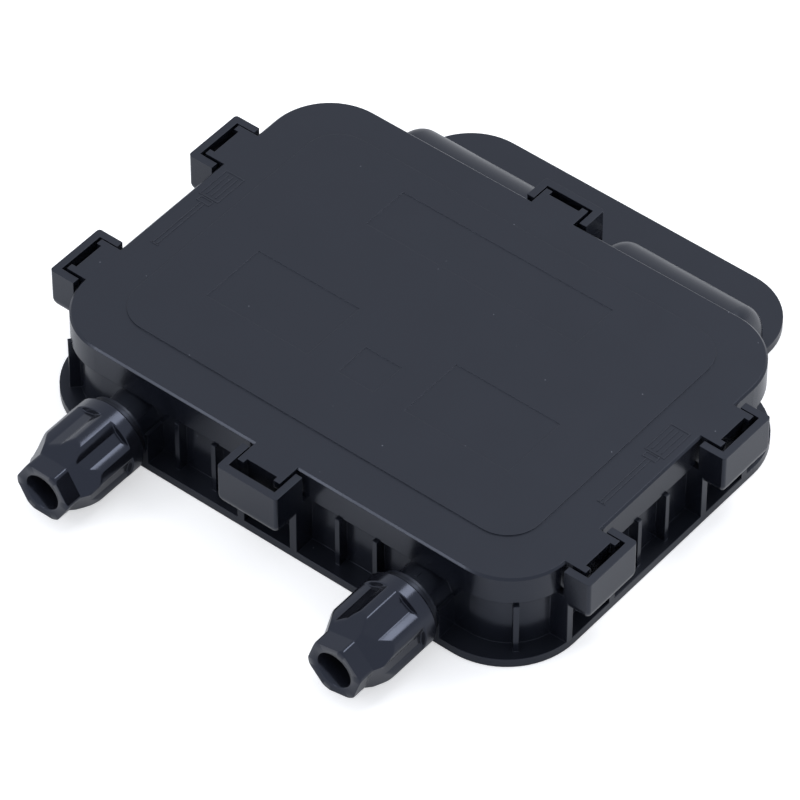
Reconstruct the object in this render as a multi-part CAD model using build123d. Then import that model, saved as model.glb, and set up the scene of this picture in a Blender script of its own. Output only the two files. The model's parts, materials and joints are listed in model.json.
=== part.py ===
"""Solar panel junction box: snap-lid housing with two cable glands, four rails and three bypass diodes."""

from build123d import *

import os
from math import asin, cos, degrees, radians, sin, tan

# ---------------------------------------------------------------- driving sizes (mm)
# Frame: the middle of the lid in plan is X0 Y0, the glue face is Z0, and the glands point along -Y.

# lid
lid_width = 138.0
lid_depth = 98.8
lid_corner = 16.0
overall_height = 24.9
lid_plate = 2.0
skirt_depth = 7.8
skirt_wall = 1.6
lid_edge = 0.5
panel_inset_front = 11.2
panel_inset_back = 9.1
panel_inset_side = 11.2
panel_corner = 9.0
panel_rise = 0.25
field_depth = 0.15
name_field_place = (-0.3, 26.1)
name_field_size = (60.5, 13.3)
side_field_pitch = 57.2
side_field_y = -11.9
left_field_size = (29.4, 18.4)
right_field_size = (29.3, 18.4)
small_field_offset = -0.6
square_field_place = (-0.6, -16.1)
square_field_size = (10.2, 9.8)
lip_wall = 1.4
lip_depth = 3.6

# fits between the mouldings
skirt_clearance = 0.3
lip_clearance = 0.4
seal_nip = 0.1
gasket_height = 1.5
gasket_clearance = 0.15

# base
box_wall = 2.0
flange_thickness = 2.3
flange_front = 3.6
flange_side = 2.5
flange_corner = 19.0
flange_back_margin = 3.0
rear_flange_length = 30.8
rear_flange_width = 102.8
rear_flange_corner = 15.8
glue_groove_inset = 2.4
glue_groove_width = 2.2
glue_groove_depth = 0.7

# ribs on the outside of the box walls
rib_thickness = 1.3
rib_projection = 2.6
rib_skirt_gap = 0.5
front_rib_places = (17.8, 28.4)
side_rib_places = (-8.5, 1.5)
corner_rib_turn = 43.0

# rear humps and the ribbon windows beneath them
hump_width = 40.0
hump_centre = 30.0
hump_reach = 18.7
hump_skirt_gap = 0.5
hump_foot = 2.3
hump_end_round = 4.0
hump_wall = 1.8
window_length = 9.0
window_back_margin = 1.0
window_side_margin = 3.5

# latch pockets
latch_width = 17.0
latch_side_wall = 1.9
latch_outer_wall = 1.9
latch_drop = 0.6
latch_floor = 12.4
latch_corner = 3.0
latch_edge_round = 0.8
latch_reach_front = 10.3
latch_reach = 8.2
latch_skirt_gap = 1.2
latch_pitch = 48.4
latch_pair_offset = -3.9
tongue_side_gap = 0.6
tongue_reach_front = 4.7
tongue_reach = 3.9
ear_width = 1.7
ear_length = 1.3
hook_wall = 1.4
hook_width = 8.0
hook_bottom = 13.0
barb = 0.7
barb_height = 2.0

# glands
gland_pitch = 83.6
gland_axis_height = 10.5
neck_radius = 6.3
spigot_radius = 7.3
spigot_bore = 6.2
collar_radius = 8.3
collar_thickness = 0.8
neck_length = 5.2
washer_radius = 8.6
washer_thickness = 1.2
washer_gap = 0.1
block_width = 14.2
block_height = 11.1

# gland nut
nut_length = 23.5
nut_radius = 9.75
nut_hex_flats = 13.4
nut_hex_corner = 7.5
nut_hex_length = 4.4
nut_cone_angle = 27.0
nut_cone_length = 4.5
nut_collar_length = 4.0
nut_lands = 6
nut_land_width = 2.0
nut_groove_width = 5.0
nut_groove_floor = 8.4
nut_turn = 20.0
nut_edge = 0.5
nut_bore = 4.6
nut_bore_length = 5.5
nut_thread_clearance = 0.3
nut_back_gap = 0.3

# gland seal and cage
cage_clearance = 0.3
cage_wall = 0.7
cage_head = 1.3
cage_length = 9.5
cage_slots = 6
cage_slot_width = 1.0
spigot_setback = 10.2
seal_clearance = 0.1
seal_bore = 3.8
seal_length = 8.0

# terminals
rail_count = 4
rail_width = 26.0
rail_pitch = 30.0
rail_length = 52.0
rail_back = 34.0
rail_thickness = 0.8
arm_width = 9.0
crimp_radius = 3.0
crimp_wall = 0.6
crimp_length = 8.0
crimp_mouth = 3.2
crimp_foot_width = 3.6
arm_overhang = 1.0
post_radius = 2.6
stake_radius = 1.4
stake_clearance = 0.15
stake_rise = 1.6
post_inset = 9.0
rail_post_setback = 4.5
diode_width = 9.0
diode_length = 10.0
diode_height = 4.4
diode_edge = 0.5
diode_edge_margin = 1.5
lead_width = 1.4
lead_thickness = 0.6
lead_pitch = 5.0
lead_height = 2.0
lead_knee_margin = 0.5
lead_foot_margin = 4.0
diode_place = 3.0
clip_width = 11.0
clip_length = 9.0
clip_height = 3.2
clip_wall = 0.7
clip_end_margin = 1.0
clip_dip = 0.9
clip_dip_setback = 1.5
clip_lip = 0.2

# ---------------------------------------------------------------- values that follow
half_depth = lid_depth / 2
wall_inset = skirt_wall + skirt_clearance
box_width = lid_width - 2 * wall_inset
box_depth = lid_depth - 2 * wall_inset
box_corner = lid_corner - wall_inset
lid_underside = overall_height - panel_rise - lid_plate
box_top = lid_underside - gasket_height - seal_nip
skirt_bottom = overall_height - skirt_depth
hump_height = skirt_bottom - hump_skirt_gap
hump_arc = hump_height - flange_thickness - hump_foot
cavity_width = box_width - 2 * box_wall
cavity_depth = box_depth - 2 * box_wall
cavity_corner = box_corner - box_wall
gland_x = gland_pitch / 2
neck_front = nut_length + nut_back_gap + washer_thickness + washer_gap + collar_thickness
gland_front = neck_front + neck_length
rail_top = gland_axis_height - crimp_radius
rail_bottom = rail_top - rail_thickness
latch_top = overall_height - latch_drop
pocket_width = latch_width - 2 * latch_side_wall


def plate(width, depth, corner, bottom, top, x=0.0, y=0.0):
    """A rounded rectangle standing from bottom to top, centred at x, y."""
    outline = RectangleRounded(width, depth, corner)
    return Pos(x, y, bottom) * extrude(outline, top - bottom)


def block(x0, x1, y0, y1, z0, z1):
    """A plain block between two corners."""
    return Pos((x0 + x1) / 2, (y0 + y1) / 2, (z0 + z1) / 2) * Box(x1 - x0, y1 - y0, z1 - z0)


def turned(points):
    """A turned piece about the Y axis, from (radius, distance along Y) corners."""
    return revolve(make_face(Polyline(*points, close=True)), Axis.Y)


def at_gland(side, shape, along=0.0):
    """Places a turned piece on one gland's axis, measured back from the nut's front end."""
    return Pos(side * gland_x, -half_depth - gland_front + along, gland_axis_height) * shape


def latch_places():
    """Each pocket's turn about Z, distance to the box wall, sideways place, reach and leg reach."""
    side_y = (latch_pair_offset - latch_pitch / 2, latch_pair_offset + latch_pitch / 2)
    places = [(0, box_depth / 2, 0.0, latch_reach_front, tongue_reach_front, flange_front)]
    places.append((180, box_depth / 2, 0.0, latch_reach, tongue_reach, latch_reach))
    for y in side_y:
        places.append((90, box_width / 2, y, latch_reach, tongue_reach, flange_side))
        places.append((-90, box_width / 2, -y, latch_reach, tongue_reach, flange_side))
    return places


def latch_pocket(reach, leg):
    """A pocket on a wall that lies on XZ and faces -Y: two side walls, an outer wall, and open above."""
    outer = wall_inset + reach
    foot = wall_inset + leg
    notch = skirt_bottom - rib_skirt_gap
    start = wall_inset + latch_skirt_gap
    if foot >= outer:
        lower = [(outer, flange_thickness)]
    else:
        lower = [(foot, flange_thickness), (foot, latch_floor), (outer, latch_floor)]
    outline = [(-box_wall / 2, flange_thickness), *lower, (outer, latch_top)]
    outline += [(start, latch_top), (start, notch), (-box_wall / 2, notch)]
    side = make_face(Polyline(*[(-y, z) for y, z in outline], close=True))
    body = extrude(Plane.YZ * side, latch_width / 2, both=True)
    body = fillet(body.edges().filter_by(Axis.Z).sort_by(Axis.Y)[:2], latch_edge_round)
    if foot < outer:
        low = body.edges().filter_by(Axis.Y).filter_by(lambda e: abs(e.center().Z - latch_floor) < 0.01)
        body = fillet(low, latch_corner)
    inner = outer - latch_outer_wall
    body -= block(-pocket_width / 2, pocket_width / 2, -inner, box_wall, 0, overall_height)
    if foot < outer:
        # the middle of the pocket is open below, between the two legs
        body -= block(-pocket_width / 2, pocket_width / 2, -outer, box_wall, 0, latch_floor)
    return body


def latch_tongue(reach, thickness):
    """The lid's tongue for one pocket, its two ears, and the hook that hangs in the pocket."""
    width = pocket_width - 2 * tongue_side_gap
    top = overall_height - panel_rise
    end = wall_inset + reach
    tongue = block(-width / 2, width / 2, -end, -wall_inset + skirt_wall / 2, top - thickness, top)
    for side in (-1, 1):
        inside = side * (width / 2 - ear_width)
        outside = side * width / 2
        low, high = sorted((inside, outside))
        tongue += block(low, high, -end - ear_length, -end, top - thickness, top)
    hook = block(-hook_width / 2, hook_width / 2, -end, -end + hook_wall, hook_bottom, top - thickness)
    tip = [(-end, hook_bottom), (-end, hook_bottom + barb_height), (-end - barb, hook_bottom + barb_height)]
    wedge = make_face(Polyline(*tip, close=True))
    hook += extrude(Plane.YZ * wedge, hook_width / 2, both=True)
    return tongue + hook


def base_housing():
    """Flange, walls, gland tubes, latch pockets, humps, ribs and rail posts, moulded as one."""
    front = -half_depth - flange_front
    back = box_depth / 2 + flange_back_margin
    flange = plate(
        lid_width + 2 * flange_side, back - front, flange_corner, 0, flange_thickness, 0, (front + back) / 2
    )
    rear_edge = half_depth + rear_flange_length
    rear_depth = rear_edge
    flange += plate(
        rear_flange_width, rear_depth, rear_flange_corner, 0, flange_thickness, 0, rear_edge - rear_depth / 2
    )
    body = flange + plate(box_width, box_depth, box_corner, 0, box_top)
    for side in (-1, 1):
        body += hump(side)
        body += gland_block(side)
    body -= plate(cavity_width, cavity_depth, cavity_corner, flange_thickness, overall_height)
    for side in (-1, 1):
        body -= hump_hollow(side)
        body = body + gland_tube(side)
        body -= at_gland(side, bore_tool())
    for turn, distance, along, reach, _, leg in latch_places():
        pocket = Pos(along, -distance, 0) * latch_pocket(reach, leg)
        body += Rot(0, 0, turn) * pocket
    body += ribs()
    body += posts()
    return body - glue_groove(front, back)


def hump_form(half, start, end, bottom, top, arc):
    """A form along X behind the box, square in front and rounded from the top down to the back."""
    form = block(-half, half, start, end, bottom, top)
    back_top = form.edges().filter_by(Axis.X).sort_by(Axis.Z)[-2:].sort_by(Axis.Y)[-1:]
    return fillet(back_top, arc)


def hump(side):
    """One rounded hump behind the box, over a ribbon window."""
    start = box_depth / 2 - box_wall
    end = box_depth / 2 + hump_reach
    form = hump_form(hump_width / 2, start, end, flange_thickness / 2, hump_height, hump_arc)
    ends = form.faces().filter_by(Axis.X).edges()
    outside = ends.filter_by(lambda e: e.center().Y > start + 1 and e.center().Z > flange_thickness)
    return Pos(side * hump_centre, 0, 0) * fillet(outside, hump_end_round)


def hump_hollow(side):
    """The space inside a hump: open to the box in front and to the window below."""
    start = box_depth / 2 - 2 * box_wall
    end = box_depth / 2 + hump_reach - hump_wall
    half = hump_width / 2 - hump_wall
    hollow = hump_form(half, start, end, flange_thickness, hump_height - hump_wall, hump_arc - hump_wall)
    window_half = half - window_side_margin
    window_end = end - window_back_margin
    window_start = window_end - window_length
    window = block(-window_half, window_half, window_start, window_end, 0, flange_thickness)
    return Pos(side * hump_centre, 0, 0) * (hollow + window)


def gland_block(side):
    """The support under a gland tube, flush with the flange's front edge."""
    front = -half_depth - flange_front
    half = block_width / 2
    return block(
        side * gland_x - half, side * gland_x + half, front, -box_depth / 2 + box_wall / 2, 0, block_height
    )


def gland_tube(side):
    """Neck, shoulder ring and spigot of one gland, from the box wall outwards."""
    wall = gland_front + wall_inset + box_wall / 2
    shoulder = neck_front - collar_thickness
    points = [(0, spigot_setback), (spigot_radius, spigot_setback), (spigot_radius, shoulder)]
    points += [(collar_radius, shoulder), (collar_radius, neck_front)]
    points += [(neck_radius, neck_front), (neck_radius, wall), (0, wall)]
    return at_gland(side, turned(points))


def bore_tool():
    """What is bored out of a gland tube, through to the inside of the box."""
    wall = gland_front + wall_inset + box_wall + 1
    return turned([(0, 0), (spigot_bore, 0), (spigot_bore, wall), (0, wall)])


def ribs():
    """Upright ribs on the front and side walls and at the two front corners."""
    top = skirt_bottom - rib_skirt_gap
    half = rib_thickness / 2
    out = rib_projection
    result = Part()
    for x in front_rib_places:
        for side in (-1, 1):
            middle = side * x
            y = -box_depth / 2
            result += block(middle - half, middle + half, y - out, y + box_wall / 2, flange_thickness, top)
    for y in side_rib_places:
        for side in (-1, 1):
            x0, x1 = sorted((side * (box_width / 2 - box_wall / 2), side * (box_width / 2 + out)))
            result += block(x0, x1, y - half, y + half, flange_thickness, top)
    for side in (-1, 1):
        rib = block(-half, half, -box_corner - out, -box_corner + box_wall / 2, flange_thickness, top)
        x = side * (box_width / 2 - box_corner)
        result += Pos(x, -box_depth / 2 + box_corner, 0) * Rot(0, 0, side * corner_rib_turn) * rib
    return result


def rail_x(index):
    """The middle of a rail across the box."""
    return (index - (rail_count - 1) / 2) * rail_pitch


def post_places():
    """Two posts under each rail: x and y."""
    ends = (rail_back - clip_length - rail_post_setback, rail_back - rail_length + post_inset)
    return [(rail_x(i), y) for i in range(rail_count) for y in ends]


def posts():
    """Posts that carry the rails, each with a stake through the rail."""
    result = Part()
    for x, y in post_places():
        post = Cylinder(post_radius, rail_bottom, align=(Align.CENTER, Align.CENTER, Align.MIN))
        rise = rail_top + stake_rise
        stake = Cylinder(stake_radius, rise, align=(Align.CENTER, Align.CENTER, Align.MIN))
        result += Pos(x, y, 0) * (post + stake)
    return result


def glue_groove(front, back):
    """The shallow groove for adhesive round the underside of the flange."""
    width = lid_width + 2 * flange_side - 2 * glue_groove_inset
    depth = back - front - 2 * glue_groove_inset
    middle = (front + back) / 2
    corner = flange_corner - glue_groove_inset
    outer = plate(width, depth, corner, 0, glue_groove_depth, 0, middle)
    step = 2 * glue_groove_width
    return outer - plate(
        width - step, depth - step, corner - glue_groove_width, 0, glue_groove_depth, 0, middle
    )


def lid():
    """Plate, skirt, inner lip, raised panel, marking fields and six tongues, moulded as one."""
    top = overall_height - panel_rise
    shell = plate(lid_width, lid_depth, lid_corner, skirt_bottom, top)
    shell = chamfer(shell.faces().sort_by(Axis.Z)[-1].edges(), lid_edge)
    inner_w = lid_width - 2 * skirt_wall
    inner_d = lid_depth - 2 * skirt_wall
    shell -= plate(inner_w, inner_d, lid_corner - skirt_wall, skirt_bottom, lid_underside)
    lip_w = cavity_width - 2 * lip_clearance
    lip_d = cavity_depth - 2 * lip_clearance
    lip_r = cavity_corner - lip_clearance
    lip = plate(lip_w, lip_d, lip_r, lid_underside - lip_depth - gasket_height, lid_underside)
    lip -= plate(lip_w - 2 * lip_wall, lip_d - 2 * lip_wall, lip_r - lip_wall, 0, lid_underside)
    shell += lip
    panel_w = lid_width - 2 * panel_inset_side
    panel_d = lid_depth - panel_inset_front - panel_inset_back
    middle = (panel_inset_front - panel_inset_back) / 2
    shell += plate(panel_w, panel_d, panel_corner, lid_underside + 0.1, overall_height, 0, middle)
    for turn, distance, along, _, reach, _ in latch_places():
        shell += Rot(0, 0, turn) * Pos(along, -distance, 0) * latch_tongue(reach, lid_plate)
    for x, y, width, depth in marking_fields():
        floor = overall_height - field_depth
        shell -= block(x - width / 2, x + width / 2, y - depth / 2, y + depth / 2, floor, overall_height + 1)
    return shell


def marking_fields():
    """Sunk fields on the lid, left bare: x, y, width and depth."""
    low = small_field_offset
    return [
        (*name_field_place, *name_field_size),
        (-side_field_pitch / 2 + low, side_field_y, *left_field_size),
        (*square_field_place, *square_field_size),
        (side_field_pitch / 2 + low, side_field_y, *right_field_size),
    ]


def lid_gasket():
    """A flat ring in the lid, above the rim of the box."""
    outer_w = lid_width - 2 * skirt_wall - 2 * gasket_clearance
    outer_d = lid_depth - 2 * skirt_wall - 2 * gasket_clearance
    bottom = lid_underside - gasket_height
    ring = plate(outer_w, outer_d, lid_corner - skirt_wall - gasket_clearance, bottom, lid_underside)
    hole_w = cavity_width - 2 * lip_clearance + 2 * gasket_clearance
    hole_d = cavity_depth - 2 * lip_clearance + 2 * gasket_clearance
    hole_r = cavity_corner - lip_clearance + gasket_clearance
    return ring - plate(hole_w, hole_d, hole_r, bottom, lid_underside)


def nut_section():
    """The hexagon of a nut's front end, square to its axis, with a flat on top."""
    return Plane.XZ * Rot(0, 0, 30) * RegularPolygon(nut_hex_flats / 2, 6, major_radius=False)


def nut_groove():
    """What is cut between two lands: a flat floor, and sides that slope up to the lands' edges."""
    end = nut_length - nut_collar_length
    land = degrees(asin(nut_land_width / 2 / nut_radius))
    edge = radians(180 / nut_lands - land)
    low = nut_groove_width / 2
    high = nut_radius * sin(edge)
    rise = nut_radius * cos(edge)
    section = [(-low, nut_groove_floor), (low, nut_groove_floor), (high, rise), (high, 2 * nut_radius)]
    section += [(-high, 2 * nut_radius), (-high, rise)]
    outline = make_face(Plane.XZ * Polyline(*section, close=True))
    return Pos(0, nut_hex_length, 0) * extrude(outline, nut_hex_length - end)


def gland_nut(side):
    """A nut with a hexagon end, a six-sided cone, six lands between grooves, and a plain collar."""
    trim = nut_hex_corner - nut_edge
    points = [(0, 0), (trim, 0), (nut_hex_corner, nut_edge), (nut_hex_corner, nut_hex_length)]
    front = extrude(nut_section(), -nut_hex_length) & turned([*points, (0, nut_hex_length)])
    cone_length = (nut_radius - nut_hex_flats / 2) / tan(radians(nut_cone_angle))
    points = [(0, nut_hex_length), (nut_radius, nut_hex_length), (nut_radius, nut_length - nut_edge)]
    points += [(nut_radius - nut_edge, nut_length), (0, nut_length)]
    barrel = turned(points)
    sloped = extrude(Pos(0, nut_hex_length, 0) * nut_section(), -cone_length, taper=-nut_cone_angle)
    size = 2 * nut_radius
    behind = block(-size, size, nut_hex_length + cone_length, nut_length + 1, -size, size)
    solid = front + (barrel & (sloped + behind))
    for i in range(nut_lands):
        solid -= Rot(0, nut_turn + (i + 0.5) * 360 / nut_lands, 0) * nut_groove()
    thread = spigot_radius + nut_thread_clearance
    shoulder = nut_hex_length + nut_cone_length
    hollow = [(0, -1), (nut_bore, -1), (nut_bore, nut_bore_length), (thread, shoulder)]
    hollow += [(thread, nut_length + 1), (0, nut_length + 1)]
    return at_gland(side, solid - turned(hollow))


def gland_washer(side):
    """The sealing ring between the nut and the tube's shoulder."""
    start = nut_length + nut_back_gap
    inner = spigot_radius + washer_gap
    points = [(inner, start), (washer_radius, start), (washer_radius, start + washer_thickness)]
    points += [(inner, start + washer_thickness)]
    return at_gland(side, turned(points))


def cage_start():
    """The front of a cage's head, measured back from the nut's front end."""
    return spigot_setback - cage_head


def gland_cage(side):
    """A slotted clamping cage: a head on the end of the spigot and fingers inside it."""
    outer = spigot_bore - cage_clearance
    inner = outer - cage_wall
    start = cage_start()
    points = [(inner, start), (spigot_radius - cage_clearance, start)]
    points += [(spigot_radius - cage_clearance, spigot_setback), (outer, spigot_setback)]
    points += [(outer, start + cage_length), (inner, start + cage_length)]
    cage = turned(points)
    for i in range(cage_slots):
        half = cage_slot_width / 2
        slot = block(-half, half, spigot_setback + 1, start + cage_length + 1, 0, spigot_bore)
        cage -= Rot(0, i * 360 / cage_slots, 0) * slot
    return at_gland(side, cage)


def gland_seal(side):
    """A rubber sleeve inside the cage, which grips the cable."""
    outer = spigot_bore - cage_clearance - cage_wall - seal_clearance
    start = cage_start()
    end = start + seal_length
    return at_gland(side, turned([(seal_bore, start), (outer, start), (outer, end), (seal_bore, end)]))


def terminal_rail(index):
    """A flat rail on two posts. The outer two reach forward to a cable end."""
    x = rail_x(index)
    front = rail_back - rail_length
    rail = block(x - rail_width / 2, x + rail_width / 2, front, rail_back, rail_bottom, rail_top)
    if index in (0, rail_count - 1):
        side = -1 if index == 0 else 1
        end = front - crimp_length - arm_overhang
        arm = side * gland_x
        rail += block(arm - arm_width / 2, arm + arm_width / 2, end, front + 1, rail_bottom, rail_top)
    for px, py in post_places():
        hole = Cylinder(stake_radius + stake_clearance, 4 * rail_thickness)
        rail -= Pos(px, py, rail_top) * hole
    return rail


def cable_crimp(side):
    """An open barrel on the rail's arm, in line with the gland."""
    barrel = Cylinder(crimp_radius, crimp_length) - Cylinder(crimp_radius - crimp_wall, crimp_length)
    barrel -= Pos(0, crimp_radius, 0) * Box(crimp_mouth, 2 * crimp_radius, crimp_length)
    foot = Pos(0, -crimp_radius + crimp_wall / 2, 0) * Box(crimp_foot_width, crimp_wall, crimp_length)
    middle = rail_back - rail_length - arm_overhang / 2 - crimp_length / 2
    return Pos(side * gland_x, middle, gland_axis_height) * Rot(90, 0, 0) * (barrel + foot)


def diode_x(index):
    """The middle of a diode, near its rail's edge towards the next rail."""
    return rail_x(index) + rail_width / 2 - diode_width / 2 - diode_edge_margin


def bypass_diode(index):
    """A moulded diode body lying flat on one rail."""
    x = diode_x(index)
    half = diode_length / 2
    body = block(
        x - diode_width / 2, x + diode_width / 2, diode_place - half, diode_place + half,
        rail_top, rail_top + diode_height,
    )
    return chamfer(body.faces().sort_by(Axis.Z)[-1].edges(), diode_edge)


def diode_leads(index):
    """Two flat leads from a diode's side, stepped down onto the next rail."""
    start = diode_x(index) + diode_width / 2
    end = rail_x(index + 1) - rail_width / 2 + lead_foot_margin
    knee = rail_x(index + 1) - rail_width / 2 + lead_knee_margin
    height = rail_top + lead_height
    points = [(start, height), (knee, height), (knee, rail_top), (end, rail_top)]
    points += [(end, rail_top + lead_thickness), (knee + lead_thickness, rail_top + lead_thickness)]
    points += [(knee + lead_thickness, height + lead_thickness), (start, height + lead_thickness)]
    outline = make_face(Polyline(*points, close=True))
    leads = []
    for side in (-1, 1):
        y = diode_place + side * lead_pitch / 2
        leads.append(Pos(0, y, 0) * extrude(Plane.XZ * outline, lead_width / 2, both=True))
    return Compound(children=leads)


def ribbon_clip(index):
    """A folded spring clip on a rail's rear end, open at the back for the ribbon."""
    front = rail_back - clip_length
    back = rail_back - clip_end_margin
    dip = back - clip_dip_setback
    top = rail_top + clip_height
    low = rail_top + clip_wall
    profile = [(back, rail_top), (front, rail_top), (front, top), (dip, top - clip_dip)]
    profile += [(back, top - clip_lip), (back, top - clip_lip - clip_wall)]
    profile += [(dip, top - clip_dip - clip_wall)]
    profile += [(front + clip_wall, top - clip_wall), (front + clip_wall, low), (back, low)]
    outline = make_face(Polyline(*profile, close=True))
    return Pos(rail_x(index), 0, 0) * extrude(Plane.YZ * outline, clip_width / 2, both=True)


def save(shape, name):
    """Writes one piece as its own file."""
    export_step(shape, "parts/" + name + ".step")


os.makedirs("parts", exist_ok=True)
save(base_housing(), "base_housing")
save(lid(), "lid")
save(lid_gasket(), "lid_gasket")
for side, word in ((-1, "left"), (1, "right")):
    save(gland_nut(side), "gland_nut_" + word)
    save(gland_washer(side), "gland_washer_" + word)
    save(gland_seal(side), "gland_seal_" + word)
    save(gland_cage(side), "gland_cage_" + word)
    save(cable_crimp(side), "cable_crimp_" + word)
for index in range(rail_count):
    save(terminal_rail(index), "terminal_rail_" + str(index + 1))
    save(ribbon_clip(index), "ribbon_clip_" + str(index + 1))
for index in range(rail_count - 1):
    save(bypass_diode(index), "bypass_diode_" + str(index + 1))
    save(diode_leads(index), "diode_leads_" + str(index + 1))
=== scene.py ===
import json
import math

import bmesh
import bpy
from mathutils import Matrix, Vector

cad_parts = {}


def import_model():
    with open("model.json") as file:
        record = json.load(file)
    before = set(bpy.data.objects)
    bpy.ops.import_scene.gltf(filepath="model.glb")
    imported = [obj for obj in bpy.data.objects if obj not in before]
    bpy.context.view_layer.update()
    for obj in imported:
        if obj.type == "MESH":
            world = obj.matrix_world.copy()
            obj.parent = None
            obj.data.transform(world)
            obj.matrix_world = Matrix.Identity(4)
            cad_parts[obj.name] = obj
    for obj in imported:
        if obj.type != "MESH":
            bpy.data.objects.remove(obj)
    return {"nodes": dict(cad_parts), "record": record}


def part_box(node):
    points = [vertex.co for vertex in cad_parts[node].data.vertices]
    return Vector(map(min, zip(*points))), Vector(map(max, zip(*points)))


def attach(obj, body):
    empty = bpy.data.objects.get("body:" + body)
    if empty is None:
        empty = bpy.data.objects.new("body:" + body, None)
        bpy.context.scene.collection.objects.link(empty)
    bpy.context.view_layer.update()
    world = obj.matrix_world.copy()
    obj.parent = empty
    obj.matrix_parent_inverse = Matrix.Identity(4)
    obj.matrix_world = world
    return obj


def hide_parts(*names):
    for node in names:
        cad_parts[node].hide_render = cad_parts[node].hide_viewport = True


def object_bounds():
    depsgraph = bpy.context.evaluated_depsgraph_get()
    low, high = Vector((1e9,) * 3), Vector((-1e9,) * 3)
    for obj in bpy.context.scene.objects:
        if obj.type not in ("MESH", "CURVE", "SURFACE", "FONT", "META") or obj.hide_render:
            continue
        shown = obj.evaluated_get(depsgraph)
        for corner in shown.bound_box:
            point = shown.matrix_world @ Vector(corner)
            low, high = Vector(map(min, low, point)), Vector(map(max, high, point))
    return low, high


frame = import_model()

cad_low, cad_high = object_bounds()
MM = 0.001
SIDES = (("left", -1), ("right", 1))

# Places read from the frame
lid_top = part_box("lid")[1].z
nut_low, nut_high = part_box("gland_nut_right")
gland_x = (nut_low.x + nut_high.x) / 2
gland_z = (nut_low.z + nut_high.z) / 2
nut_back_y = nut_high.y

# Sizes of the mouldings that carry the marks
LID_HALF_WIDTH = 69.0 * MM
PANEL_RISE = 0.25 * MM
NECK_RADIUS = 6.3 * MM

# Raised lines
MARK_RISE = 0.1 * MM
MARK_SINK = 0.05 * MM
MARK_SLOPE = 0.6
LINE = 0.35 * MM
FINE_LINE = LINE * 0.8

# Screwdriver picture, from the end of its grip to its tip
DRIVER_INSET = 4.9 * MM
DRIVER_TOP = 12.9 * MM
GRIP_WIDTH = 5.2 * MM
GRIP_LENGTH = 9.4 * MM
GRIP_LINE_SPACING = 1.3 * MM
GRIP_LINE_MARGIN = 1.6 * MM
FERRULE_WIDTH = 3.4 * MM
FERRULE_LENGTH = 1.5 * MM
FERRULE_DROP = 1.3 * MM
SHAFT_DROP = 1.0 * MM
SHAFT_LENGTH = 17.8 * MM
SHAFT_HALF_WIDTH = 0.55 * MM
TIP_WIDTH = 2.2 * MM

# Plus and minus signs on the gland necks
SIGN_PLACE = 4.2 * MM
SIGN_WIDTH = 3.6 * MM
SIGN_STROKE = 0.7 * MM
PLUS_ARM_PLACE = 1.15 * MM
PLUS_ARM_LENGTH = 1.6 * MM


# ------------------------------------------------------------------ shader helpers
def linear(hex_colour):
    """An sRGB hex value as the linear colour that a shader takes."""
    values = [int(hex_colour[i : i + 2], 16) / 255 for i in (1, 3, 5)]
    curve = [v / 12.92 if v <= 0.04045 else ((v + 0.055) / 1.055) ** 2.4 for v in values]
    return (*curve, 1.0)


def add(tree, kind, settings=None, inputs=None, links=None):
    """One node, with its settings, its socket values and the outputs linked into it."""
    node = tree.nodes.new(kind)
    for name, value in (settings or {}).items():
        setattr(node, name, value)
    for name, value in (inputs or {}).items():
        node.inputs[name].default_value = value
    for name, output in (links or {}).items():
        tree.links.new(output, node.inputs[name])
    return node


def per_mm(size_mm):
    """The texture scale whose pattern repeats about every size_mm."""
    return 1.0 / (size_mm * MM)


def start_material(name):
    """An empty node material and its object-space coordinates."""
    material = bpy.data.materials.new(name)
    material.use_nodes = True
    tree = material.node_tree
    tree.nodes.clear()
    place = add(tree, "ShaderNodeTexCoord").outputs["Object"]
    return material, tree, place


def finish_material(tree, shader):
    """Links the shader to the material's surface."""
    add(tree, "ShaderNodeOutputMaterial", links={"Surface": shader.outputs[0]})


# ------------------------------------------------------------------ materials
EDGE_RADIUS_MM = 0.22
# The middle of a noise texture's output, which a slow change of finish is spread over.
NOISE_LOW = 0.3
NOISE_HIGH = 0.7

PPE_CLOUD_MM = 14.0
PPE_GRIT_MM = 0.45
PPE_GRIT_DEPTH_MM = 0.012
SIDE_ROUGHNESS = 0.2
TOP_ROUGHNESS = 0.4
SIDE_FACING = 0.55
TOP_FACING = 0.95
DUST_SPACING_MM = 5.0
DUST_RADIUS_MM = 0.15
DUST_SHARE = 0.35

PLASTIC_CLOUD_MM = 6.0

ROLLING_LINE_MM = 0.3
ROLLING_DEPTH_MM = 0.006
ROLLING_STRETCH = 0.08


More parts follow.
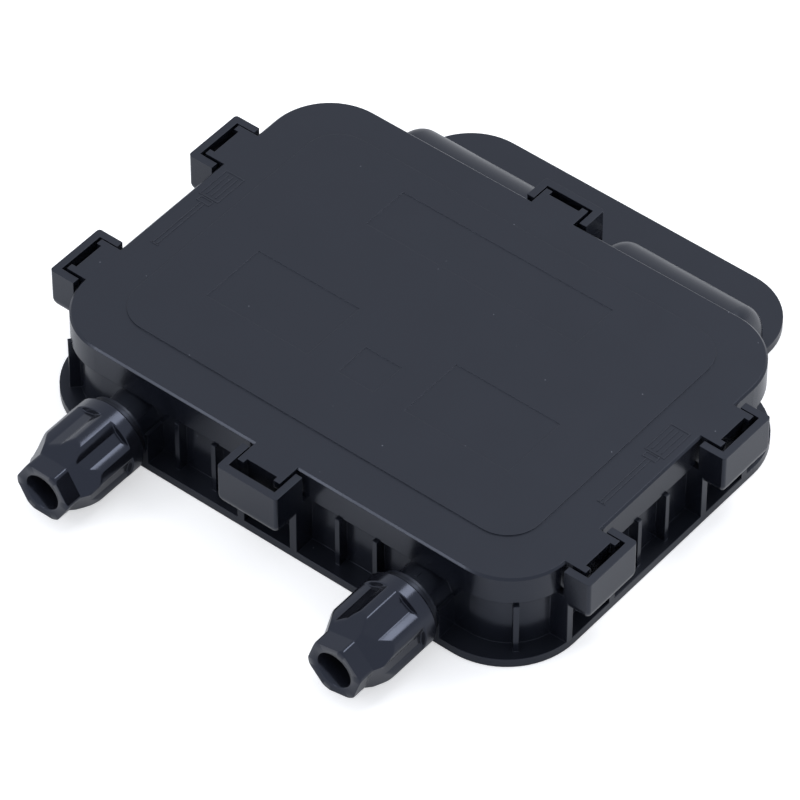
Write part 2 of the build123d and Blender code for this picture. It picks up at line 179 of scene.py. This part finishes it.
def moulded_ppe():
    """Black PPE from a steel mould: spark-eroded and satin where it faces up, polished on its sides.

    It looks almost black, with a cool sheen of the room on every face, softened moulded edges,
    and a few specks of grey dust that cling to it."""
    material, tree, place = start_material("moulded_black_ppe")
    cloud = add(
        tree,
        "ShaderNodeTexNoise",
        inputs={"Scale": per_mm(PPE_CLOUD_MM), "Detail": 3.0},
        links={"Vector": place},
    )
    # The real grit is about 0.1 mm; it is drawn coarser so that it shows.
    grit = add(
        tree,
        "ShaderNodeTexNoise",
        inputs={"Scale": per_mm(PPE_GRIT_MM), "Detail": 2.0},
        links={"Vector": place},
    )
    geometry = add(tree, "ShaderNodeNewGeometry")
    facing = add(tree, "ShaderNodeSeparateXYZ", links={0: geometry.outputs["Normal"]})
    satin = add(
        tree,
        "ShaderNodeMapRange",
        inputs={
            "From Min": SIDE_FACING,
            "From Max": TOP_FACING,
            "To Min": SIDE_ROUGHNESS,
            "To Max": TOP_ROUGHNESS,
        },
        links={"Value": facing.outputs["Z"]},
    )
    uneven = add(
        tree,
        "ShaderNodeMapRange",
        inputs={"From Min": NOISE_LOW, "From Max": NOISE_HIGH, "To Min": -0.025, "To Max": 0.03},
        links={"Value": cloud.outputs[0]},
    )
    roughness = add(
        tree, "ShaderNodeMath", {"operation": "ADD"}, links={0: satin.outputs[0], 1: uneven.outputs[0]}
    )
    body = add(tree, "ShaderNodeMix", {"data_type": "RGBA"}, links={0: cloud.outputs[0]})
    body.inputs[6].default_value = linear("#101218")
    body.inputs[7].default_value = linear("#14161d")
    # Dust: at most one speck in each cell, on about a third of the cells.
    cells = add(
        tree, "ShaderNodeTexVoronoi", inputs={"Scale": per_mm(DUST_SPACING_MM)}, links={"Vector": place}
    )
    near = add(
        tree,
        "ShaderNodeMath",
        {"operation": "LESS_THAN"},
        {1: DUST_RADIUS_MM / DUST_SPACING_MM},
        {0: cells.outputs["Distance"]},
    )
    chance = add(tree, "ShaderNodeSeparateColor", links={0: cells.outputs["Color"]})
    some = add(tree, "ShaderNodeMath", {"operation": "LESS_THAN"}, {1: DUST_SHARE}, {0: chance.outputs[0]})
    dust = add(
        tree, "ShaderNodeMath", {"operation": "MULTIPLY"}, links={0: near.outputs[0], 1: some.outputs[0]}
    )
    colour = add(tree, "ShaderNodeMix", {"data_type": "RGBA"}, links={0: dust.outputs[0], 6: body.outputs[2]})
    colour.inputs[7].default_value = linear("#6d7078")
    edge = add(tree, "ShaderNodeBevel", {"samples": 6}, {"Radius": EDGE_RADIUS_MM * MM})
    relief = add(
        tree,
        "ShaderNodeBump",
        inputs={"Distance": PPE_GRIT_DEPTH_MM * MM, "Strength": 0.5},
        links={"Height": grit.outputs[0], "Normal": edge.outputs[0]},
    )
    shader = add(
        tree,
        "ShaderNodeBsdfPrincipled",
        inputs={"IOR": 1.52, "Specular Tint": linear("#dfe8ff")},
        links={
            "Base Color": colour.outputs[2],
            "Roughness": roughness.outputs[0],
            "Normal": relief.outputs[0],
        },
    )
    finish_material(tree, shader)
    return material


def moulded_plastic(name, dark, light, roughness, skin_mm, skin_depth_mm, ior, tint):
    """A moulded or cast polymer: a faintly cloudy colour, a fine skin and softened edges."""
    material, tree, place = start_material(name)
    cloud = add(
        tree,
        "ShaderNodeTexNoise",
        inputs={"Scale": per_mm(PLASTIC_CLOUD_MM), "Detail": 3.0},
        links={"Vector": place},
    )
    skin = add(
        tree, "ShaderNodeTexNoise", inputs={"Scale": per_mm(skin_mm), "Detail": 2.0}, links={"Vector": place}
    )
    colour = add(tree, "ShaderNodeMix", {"data_type": "RGBA"}, links={0: cloud.outputs[0]})
    colour.inputs[6].default_value = linear(dark)
    colour.inputs[7].default_value = linear(light)
    gloss = add(
        tree,
        "ShaderNodeMapRange",
        inputs={
            "From Min": NOISE_LOW,
            "From Max": NOISE_HIGH,
            "To Min": roughness - 0.03,
            "To Max": roughness + 0.04,
        },
        links={"Value": cloud.outputs[0]},
    )
    edge = add(tree, "ShaderNodeBevel", {"samples": 6}, {"Radius": EDGE_RADIUS_MM * MM})
    relief = add(
        tree,
        "ShaderNodeBump",
        inputs={"Distance": skin_depth_mm * MM, "Strength": 0.5},
        links={"Height": skin.outputs[0], "Normal": edge.outputs[0]},
    )
    shader = add(
        tree,
        "ShaderNodeBsdfPrincipled",
        inputs={"IOR": ior, "Specular Tint": linear(tint)},
        links={"Base Color": colour.outputs[2], "Roughness": gloss.outputs[0], "Normal": relief.outputs[0]},
    )
    finish_material(tree, shader)
    return material


def rolled_strip(name, dark, light, roughness):
    """Strip metal, whose fine rolling lines run along the box and catch the light."""
    material, tree, place = start_material(name)
    stretch = add(tree, "ShaderNodeMapping", links={"Vector": place})
    stretch.inputs["Scale"].default_value = (1.0, ROLLING_STRETCH, 1.0)
    lines = add(
        tree,
        "ShaderNodeTexNoise",
        inputs={"Scale": per_mm(ROLLING_LINE_MM), "Detail": 3.0},
        links={"Vector": stretch.outputs[0]},
    )
    colour = add(tree, "ShaderNodeMix", {"data_type": "RGBA"}, links={0: lines.outputs[0]})
    colour.inputs[6].default_value = linear(dark)
    colour.inputs[7].default_value = linear(light)
    gloss = add(
        tree,
        "ShaderNodeMapRange",
        inputs={
            "From Min": NOISE_LOW,
            "From Max": NOISE_HIGH,
            "To Min": roughness - 0.05,
            "To Max": roughness + 0.08,
        },
        links={"Value": lines.outputs[0]},
    )
    relief = add(
        tree,
        "ShaderNodeBump",
        inputs={"Distance": ROLLING_DEPTH_MM * MM, "Strength": 0.4},
        links={"Height": lines.outputs[0]},
    )
    shader = add(
        tree,
        "ShaderNodeBsdfPrincipled",
        inputs={"Metallic": 1.0},
        links={"Base Color": colour.outputs[2], "Roughness": gloss.outputs[0], "Normal": relief.outputs[0]},
    )
    finish_material(tree, shader)
    return material


ppe = moulded_ppe()
# Polyamide fills the mould well, so its skin comes out glossier than the housing's.
polyamide = moulded_plastic(
    "moulded_black_polyamide",
    dark="#0f1014",
    light="#14151b",
    roughness=0.17,
    skin_mm=0.9,
    skin_depth_mm=0.006,
    ior=1.53,
    tint="#d6e1ff",
)
silicone = moulded_plastic(
    "moulded_silicone",
    dark="#08080a",
    light="#0c0c0f",
    roughness=0.35,
    skin_mm=0.4,
    skin_depth_mm=0.01,
    ior=1.43,
    tint="#d6e1ff",
)
epoxy = moulded_plastic(
    "transfer_moulded_epoxy",
    dark="#1c1c1d",
    light="#262627",
    roughness=0.55,
    skin_mm=0.25,
    skin_depth_mm=0.02,
    ior=1.55,
    tint="#ffffff",
)
tinned_copper = rolled_strip("tin_plated_copper", dark="#b9b7b2", light="#d3d1cc", roughness=0.32)
spring_steel = rolled_strip("stamped_stainless_strip", dark="#9c9da0", light="#c2c3c6", roughness=0.28)

FINISHES = {
    "housing": ppe,
    "nut": polyamide,
    "cage": polyamide,
    "silicone": silicone,
    "copper": tinned_copper,
    "spring": spring_steel,
    "epoxy": epoxy,
}


def dress_frame():
    """Gives each CAD node the finish of its material slot."""
    for row in frame["record"]["subparts"]:
        piece = frame["nodes"][row["node"]]
        piece.data.materials.clear()
        piece.data.materials.append(FINISHES[row["material_slot"]])


# ------------------------------------------------------------------ marks on the mouldings
def new_piece(name, mesh, body, material):
    """Adds a mesh to the scene as a piece that rides on a body."""
    piece = bpy.data.objects.new(name, mesh)
    bpy.context.scene.collection.objects.link(piece)
    piece.data.materials.append(material)
    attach(piece, body)
    return piece


def bar(mesh, x, y, width, length):
    """One raised bar with sloping sides, lying on the plane z = 0 of the mark."""
    slope = MARK_RISE * MARK_SLOPE
    rings = []
    for level, grow in ((-MARK_SINK, slope), (MARK_RISE, 0.0)):
        w = width / 2 + grow
        d = length / 2 + grow
        corners = ((-w, -d), (w, -d), (w, d), (-w, d))
        rings.append([mesh.verts.new((x + a, y + b, level)) for a, b in corners])
    mesh.faces.new(rings[1])
    mesh.faces.new(list(reversed(rings[0])))
    for i in range(4):
        j = (i + 1) % 4
        mesh.faces.new((rings[0][i], rings[0][j], rings[1][j], rings[1][i]))


def frame_bars(mesh, x, y, width, length):
    """A rectangle drawn with four bars."""
    for side in (-1, 1):
        bar(mesh, x + side * width / 2, y, LINE, length + LINE)
        bar(mesh, x, y + side * length / 2, width - LINE, LINE)


def driver_picture(name, side):
    """The raised picture of a screwdriver that shows where to open the lid."""
    mesh = bmesh.new()
    x = side * (LID_HALF_WIDTH - DRIVER_INSET)
    grip_middle = DRIVER_TOP - GRIP_LENGTH / 2
    frame_bars(mesh, x, grip_middle, GRIP_WIDTH, GRIP_LENGTH)
    for step in (-1, 0, 1):
        bar(mesh, x + step * GRIP_LINE_SPACING, grip_middle, FINE_LINE, GRIP_LENGTH - GRIP_LINE_MARGIN)
    ferrule = DRIVER_TOP - GRIP_LENGTH - FERRULE_DROP
    frame_bars(mesh, x, ferrule, FERRULE_WIDTH, FERRULE_LENGTH)
    tip = ferrule - SHAFT_LENGTH
    shaft_top = ferrule - SHAFT_DROP
    for edge in (-1, 1):
        bar(mesh, x + edge * SHAFT_HALF_WIDTH, (shaft_top + tip) / 2, FINE_LINE, shaft_top - tip)
    bar(mesh, x, tip, TIP_WIDTH, LINE)
    data = bpy.data.meshes.new(name)
    mesh.to_mesh(data)
    mesh.free()
    for vertex in data.vertices:
        vertex.co.z += lid_top - PANEL_RISE
    return new_piece(name, data, "cover", ppe)


def polarity_mark(name, side):
    """A raised minus on the left neck and a plus on the right, bent onto the tube."""
    mesh = bmesh.new()
    bar(mesh, 0, 0, SIGN_WIDTH, SIGN_STROKE)
    if side > 0:
        for end in (1, -1):
            bar(mesh, 0, end * PLUS_ARM_PLACE, SIGN_STROKE, PLUS_ARM_LENGTH)
    data = bpy.data.meshes.new(name)
    mesh.to_mesh(data)
    mesh.free()
    for vertex in data.vertices:
        angle = vertex.co.x / NECK_RADIUS
        radius = NECK_RADIUS + vertex.co.z
        along = vertex.co.y
        vertex.co.x = side * gland_x + radius * math.sin(angle)
        vertex.co.z = gland_z + radius * math.cos(angle)
        vertex.co.y = nut_back_y + SIGN_PLACE + along
    return new_piece(name, data, "base", ppe)


# ------------------------------------------------------------------ gland nuts
# The nut stands on its own axis: angles run from +Z towards +X, and t is the distance from its front end.
# Each nut was tightened to its own angle; its lands sit a little off its hexagon's flats.
NUT_TURNS = {"left": 0.0, "right": -12.0}
NUT_SECTOR = 60.0
NUT_LAND_TURN = 14.0
NUT_FLAT = 6.7 * MM
NUT_CORNER = 7.55 * MM
NUT_HEX_END = 4.4 * MM
NUT_CONE_SLOPE = 0.51
NUT_FLOOR = 8.4 * MM
NUT_FLOOR_HALF_ANGLE = 9.0
NUT_LAND_HALF_ANGLE = 6.0
NUT_BLEND = 0.16 * MM
NUT_RIM = 0.35 * MM
NUT_COLLAR = 4.0 * MM
NUT_BORE = 4.6 * MM
NUT_SEAT = 8.6 * MM
NUT_THREAD = 7.6 * MM
NUT_AROUND = 480
NUT_STEP = 0.16 * MM
NUT_FINE_STEP = 0.04 * MM
NUT_SHARP_ANGLE = 60.0


def off_centre(angle, step, centre):
    """The angle in degrees from the nearest of the directions that repeat every step."""
    return (angle - centre + step / 2) % step - step / 2


def soft_min(first, second, blend):
    """The smaller of two radii, with their crossing rounded over about the blend."""
    share = max(blend - abs(first - second), 0.0) / blend
    return min(first, second) - share * share * blend / 4


def nut_radius(angle, t, collar_start, outer):
    """The nut's surface: hexagon, six-sided cone, lands with sloping sides, and a plain collar."""
    six_sided = 1.0 / math.cos(math.radians(off_centre(angle, NUT_SECTOR, 0.0)))
    if t < NUT_HEX_END:
        hexagon = soft_min(NUT_FLAT * six_sided, NUT_CORNER, NUT_BLEND)
        return soft_min(hexagon, NUT_CORNER - NUT_RIM + t, NUT_BLEND)
    cone = (NUT_FLAT + (t - NUT_HEX_END) * NUT_CONE_SLOPE) * six_sided
    from_land = abs(off_centre(angle, NUT_SECTOR, NUT_LAND_TURN))
    from_floor = NUT_SECTOR / 2 - from_land
    floor = NUT_FLOOR / math.cos(math.radians(min(from_floor, NUT_FLOOR_HALF_ANGLE)))
    side_angle = NUT_SECTOR / 2 - NUT_FLOOR_HALF_ANGLE - NUT_LAND_HALF_ANGLE
    climb = (from_floor - NUT_FLOOR_HALF_ANGLE) / side_angle
    side = floor + max(climb, 0.0) * (outer - NUT_FLOOR)
    fluted = soft_min(side, outer, NUT_BLEND)
    into_collar = min(max((t - collar_start) / NUT_RIM, 0.0), 1.0)
    rise = (1 - math.cos(math.pi * into_collar)) / 2
    barrel = fluted + (outer - fluted) * rise
    return soft_min(cone, barrel, NUT_BLEND * 2)


def nut_stations(length, collar_start):
    """Distances along the nut: close together at its rim, hexagon end and collar, wider between."""
    spans = (
        (0.0, NUT_RIM, NUT_FINE_STEP),
        (NUT_RIM, NUT_HEX_END - NUT_BLEND, NUT_STEP),
        (NUT_HEX_END - NUT_BLEND, NUT_HEX_END + NUT_BLEND, NUT_FINE_STEP),
        (NUT_HEX_END + NUT_BLEND, collar_start, NUT_STEP),
        (collar_start, collar_start + NUT_RIM, NUT_FINE_STEP),
        (collar_start + NUT_RIM, length - NUT_RIM, NUT_STEP),
    )
    stations = [0.0]
    for start, end, step in spans:
        count = math.ceil((end - start) / step - 1e-6)
        stations += [start + (end - start) * (i + 1) / count for i in range(count)]
    return stations


def nut_rings(length, outer):
    """Rings of (t, radius for each angle): the outside from the front, then back through the bore."""
    angles = [360.0 * i / NUT_AROUND for i in range(NUT_AROUND)]
    collar_start = length - NUT_COLLAR
    rings = []
    for t in nut_stations(length, collar_start):
        rings.append((t, [nut_radius(angle, t, collar_start, outer) for angle in angles]))
    inside = [
        (length, outer - NUT_RIM),
        (length, NUT_THREAD),
        (NUT_SEAT, NUT_THREAD),
        (NUT_SEAT, NUT_BORE),
        (NUT_RIM / 2, NUT_BORE),
        (0.0, NUT_BORE + NUT_RIM / 2),
    ]
    rings += [(t, [radius] * NUT_AROUND) for t, radius in inside]
    return angles, rings


def finished_nut(word, side):
    """The glossy moulded nut that is seen in place of the plainer solid, at the same size."""
    low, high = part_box("gland_nut_" + word)
    outer = (high.x - low.x) / 2
    angles, rings = nut_rings(high.y - low.y, outer)
    turned = [math.radians(a + NUT_TURNS[word]) for a in angles]
    turns = [(math.sin(a), math.cos(a)) for a in turned]
    mesh = bmesh.new()
    loops = []
    for t, radii in rings:
        loops.append(
            [
                mesh.verts.new((side * gland_x + r * across, low.y + t, gland_z + r * up))
                for r, (across, up) in zip(radii, turns)
            ]
        )
    for k, loop in enumerate(loops):
        after = loops[(k + 1) % len(loops)]
        for i in range(NUT_AROUND):
            j = (i + 1) % NUT_AROUND
            mesh.faces.new((loop[i], loop[j], after[j], after[i]))
    bmesh.ops.recalc_face_normals(mesh, faces=mesh.faces)
    data = bpy.data.meshes.new("finished_nut_" + word)
    mesh.to_mesh(data)
    mesh.free()
    data.shade_smooth()
    data.set_sharp_from_angle(angle=math.radians(NUT_SHARP_ANGLE))
    piece = new_piece("finished_nut_" + word, data, "nut_" + word, polyamide)
    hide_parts("gland_nut_" + word)


# ------------------------------------------------------------------ studio
CAMERA_AZIMUTH = math.radians(39.01)
CAMERA_ELEVATION = math.radians(45.87)
CAMERA_DISTANCE = 1.4233
CAMERA_LENS = 282.7
CAMERA_SENSOR = 36.0
CAMERA_REACH = 20
AIM_RIGHT = -3.88 * MM
AIM_UP = 1.87 * MM
FLOOR_HALF_SIZE = 6.0
FLOOR_GAP = 0.2 * MM
FLOOR_GLOW = 0.5
ROOM_STRENGTH = 0.88


def camera():
    """A long lens at the angle from which the product is usually shown."""
    back = Vector(
        (
            math.sin(CAMERA_AZIMUTH) * math.cos(CAMERA_ELEVATION),
            -math.cos(CAMERA_AZIMUTH) * math.cos(CAMERA_ELEVATION),
            math.sin(CAMERA_ELEVATION),
        )
    )
    right = Vector((math.cos(CAMERA_AZIMUTH), math.sin(CAMERA_AZIMUTH), 0))
    up = back.cross(right)
    data = bpy.data.cameras.new("camera")
    data.lens = CAMERA_LENS
    data.sensor_width = CAMERA_SENSOR
    data.clip_end = CAMERA_REACH
    view = bpy.data.objects.new("camera", data)
    turn = Matrix((right, up, back)).transposed().to_4x4()
    aim = right * AIM_RIGHT + up * AIM_UP
    view.matrix_world = Matrix.Translation(aim + back * CAMERA_DISTANCE) @ turn
    bpy.context.scene.collection.objects.link(view)
    bpy.context.scene.camera = view


def area_light(name, place, size, power):
    """A rectangular lamp that faces the object."""
    data = bpy.data.lights.new(name, "AREA")
    data.shape = "RECTANGLE"
    data.size, data.size_y = size
    data.energy = power
    lamp = bpy.data.objects.new(name, data)
    lamp.location = place
    lamp.rotation_euler = Vector(place).to_track_quat("Z", "Y").to_euler()
    bpy.context.scene.collection.objects.link(lamp)


def floor():
    """A white table that keeps the object's shadow and shows pale to the camera."""
    mesh = bmesh.new()
    bmesh.ops.create_grid(mesh, x_segments=1, y_segments=1, size=FLOOR_HALF_SIZE)
    data = bpy.data.meshes.new("floor")
    mesh.to_mesh(data)
    mesh.free()
    ground = bpy.data.objects.new("floor", data)
    ground.location.z = cad_low[2] - FLOOR_GAP
    bpy.context.scene.collection.objects.link(ground)
    material, tree, _ = start_material("white_table")
    matt = add(tree, "ShaderNodeBsdfDiffuse", inputs={"Color": linear("#f4f4f4")})
    glow = add(tree, "ShaderNodeEmission")
    path = add(tree, "ShaderNodeLightPath")
    bright = add(
        tree,
        "ShaderNodeMath",
        {"operation": "MULTIPLY"},
        {1: FLOOR_GLOW},
        {0: path.outputs["Is Camera Ray"]},
    )
    tree.links.new(bright.outputs[0], glow.inputs["Strength"])
    finish_material(tree, add(tree, "ShaderNodeAddShader", links={0: matt.outputs[0], 1: glow.outputs[0]}))
    ground.data.materials.append(material)


def world():
    """A pale room: white to the camera, and a slightly cooler, softer light on the object."""
    room = bpy.data.worlds.new("room")
    bpy.context.scene.world = room
    room.use_nodes = True
    tree = room.node_tree
    tree.nodes.clear()
    path = add(tree, "ShaderNodeLightPath")
    seen = path.outputs["Is Camera Ray"]
    strength = add(
        tree, "ShaderNodeMapRange", inputs={"To Min": ROOM_STRENGTH, "To Max": 1.0}, links={"Value": seen}
    ).outputs[0]
    daylight = add(tree, "ShaderNodeMix", {"data_type": "RGBA"}, links={0: seen})
    daylight.inputs[6].default_value = linear("#f3f7ff")
    daylight.inputs[7].default_value = linear("#ffffff")
    back = add(tree, "ShaderNodeBackground", links={"Color": daylight.outputs[2], "Strength": strength})
    add(tree, "ShaderNodeOutputWorld", links={"Surface": back.outputs[0]})


dress_frame()
for word, side in SIDES:
    driver_picture("driver_picture_" + word, side)
    polarity_mark("polarity_mark_" + word, side)
    finished_nut(word, side)
camera()
floor()
world()
area_light("overhead", place=(0.15, 0.54, 0.83), size=(0.36, 0.36), power=2.2)
area_light("front_left", place=(-0.53, -0.86, 0.65), size=(0.3, 0.3), power=1.3)
bpy.context.scene.view_settings.view_transform = "Standard"
